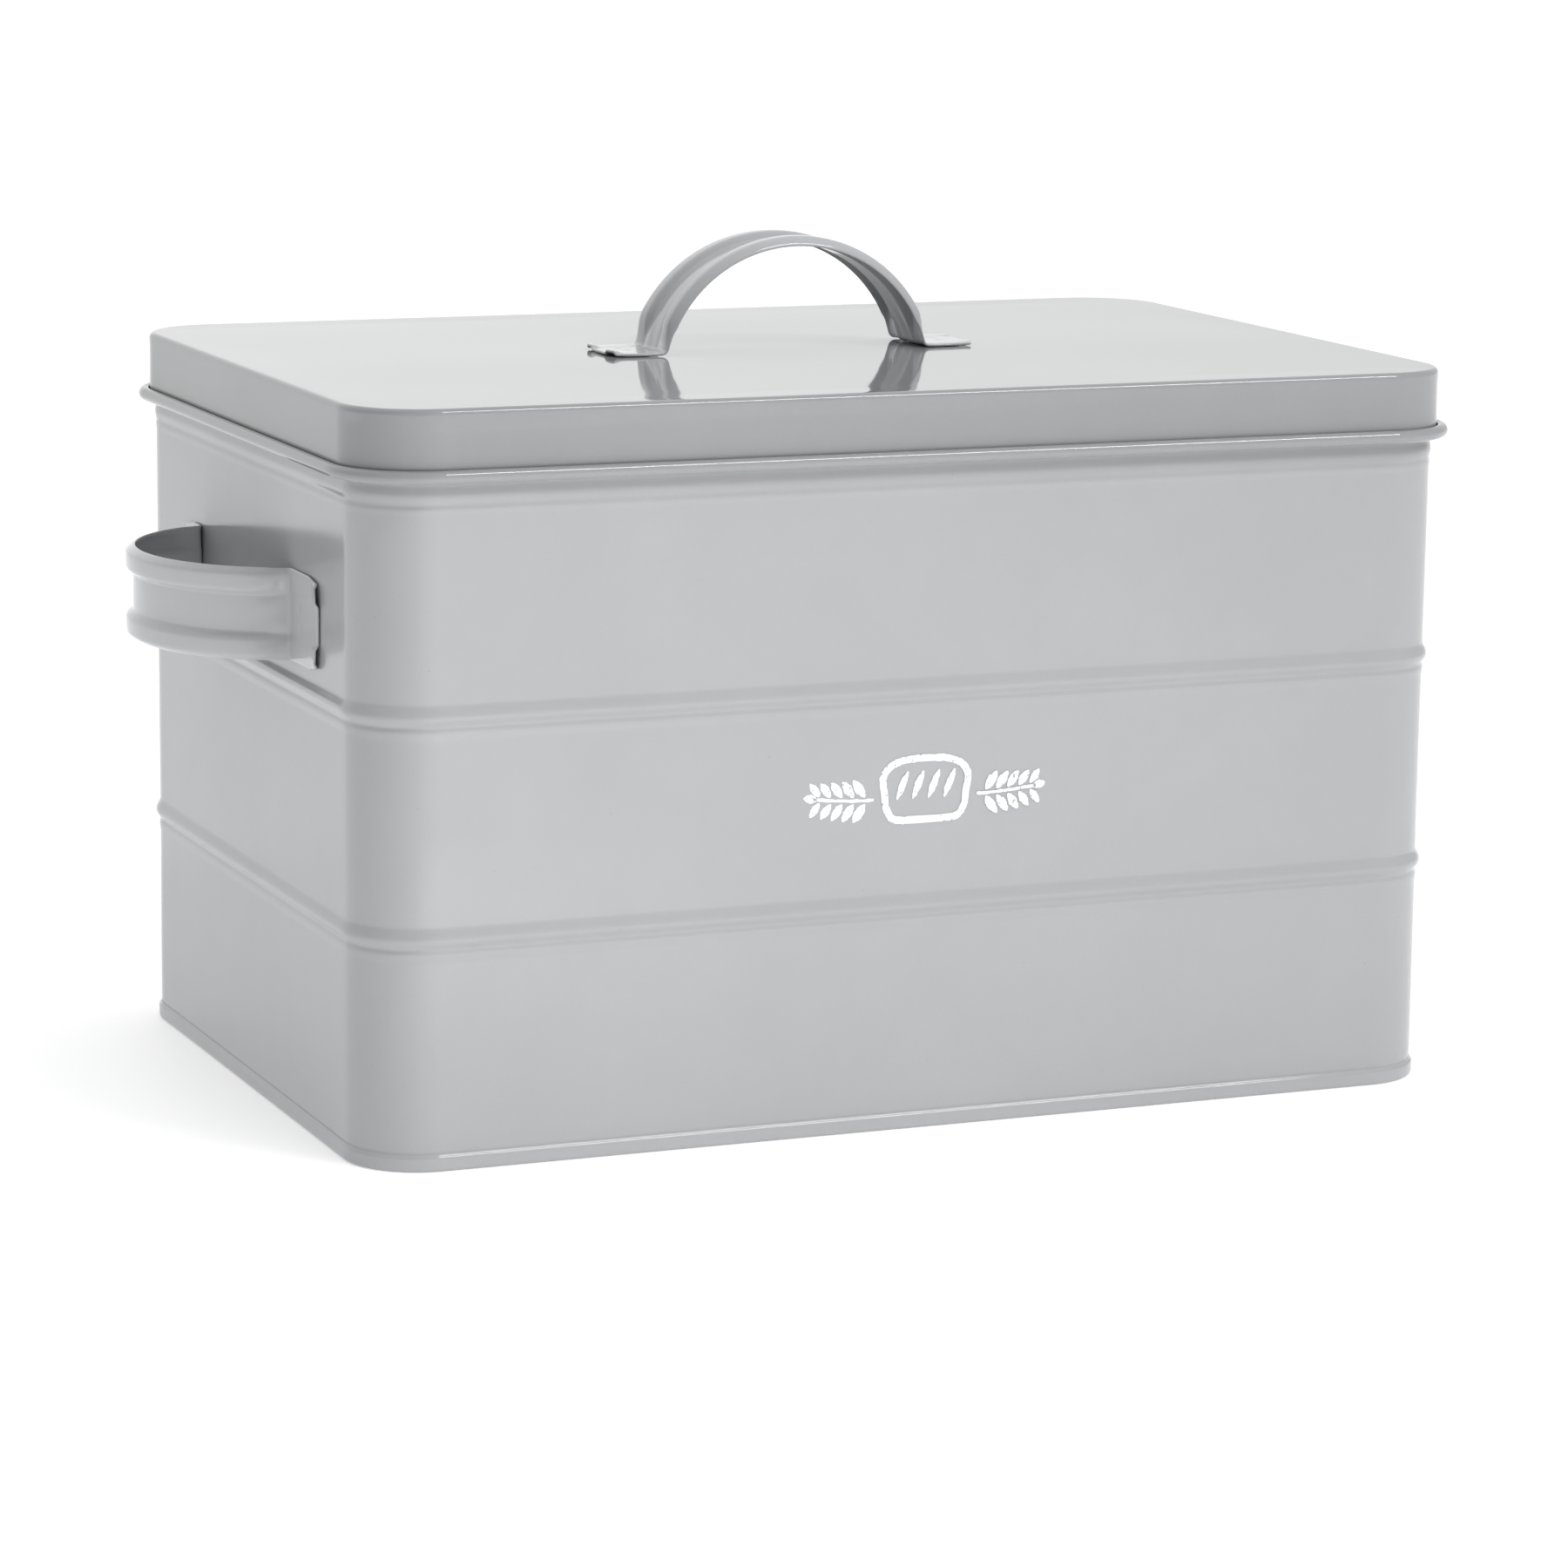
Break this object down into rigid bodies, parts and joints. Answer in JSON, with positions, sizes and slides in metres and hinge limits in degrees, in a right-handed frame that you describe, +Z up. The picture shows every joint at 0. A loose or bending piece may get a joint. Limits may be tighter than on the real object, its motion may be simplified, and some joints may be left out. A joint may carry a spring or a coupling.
{
  "type": "bread bin",
  "caption": "Rectangular painted sheet-steel bread bin with rounded corners, pressed beads, ridged strap handles and a lid that lifts off.",
  "frame": {"origin": "middle of the base, on the surface that the bin stands on", "axes": "+X along the bin's length from the left side handle to the right one, -Y towards the front, +Z up"},
  "size_m": [0.3976, 0.2304, 0.2439],
  "materials": {
    "grey_paint": "gloss"
  },
  "bodies": {
    "bin": {"body_wall": "grey_paint", "base_panel": "grey_paint", "side_handle_left": "grey_paint", "side_handle_right": "grey_paint"},
    "lid": {"lid_pan": "grey_paint", "lid_handle": "grey_paint"}
  },
  "joints": [
    {"name": "lid_lift", "type": "slide", "parent": "bin", "child": "lid", "axis": [0, 0, 1], "range_m": [0, 0.15]}
  ]
}
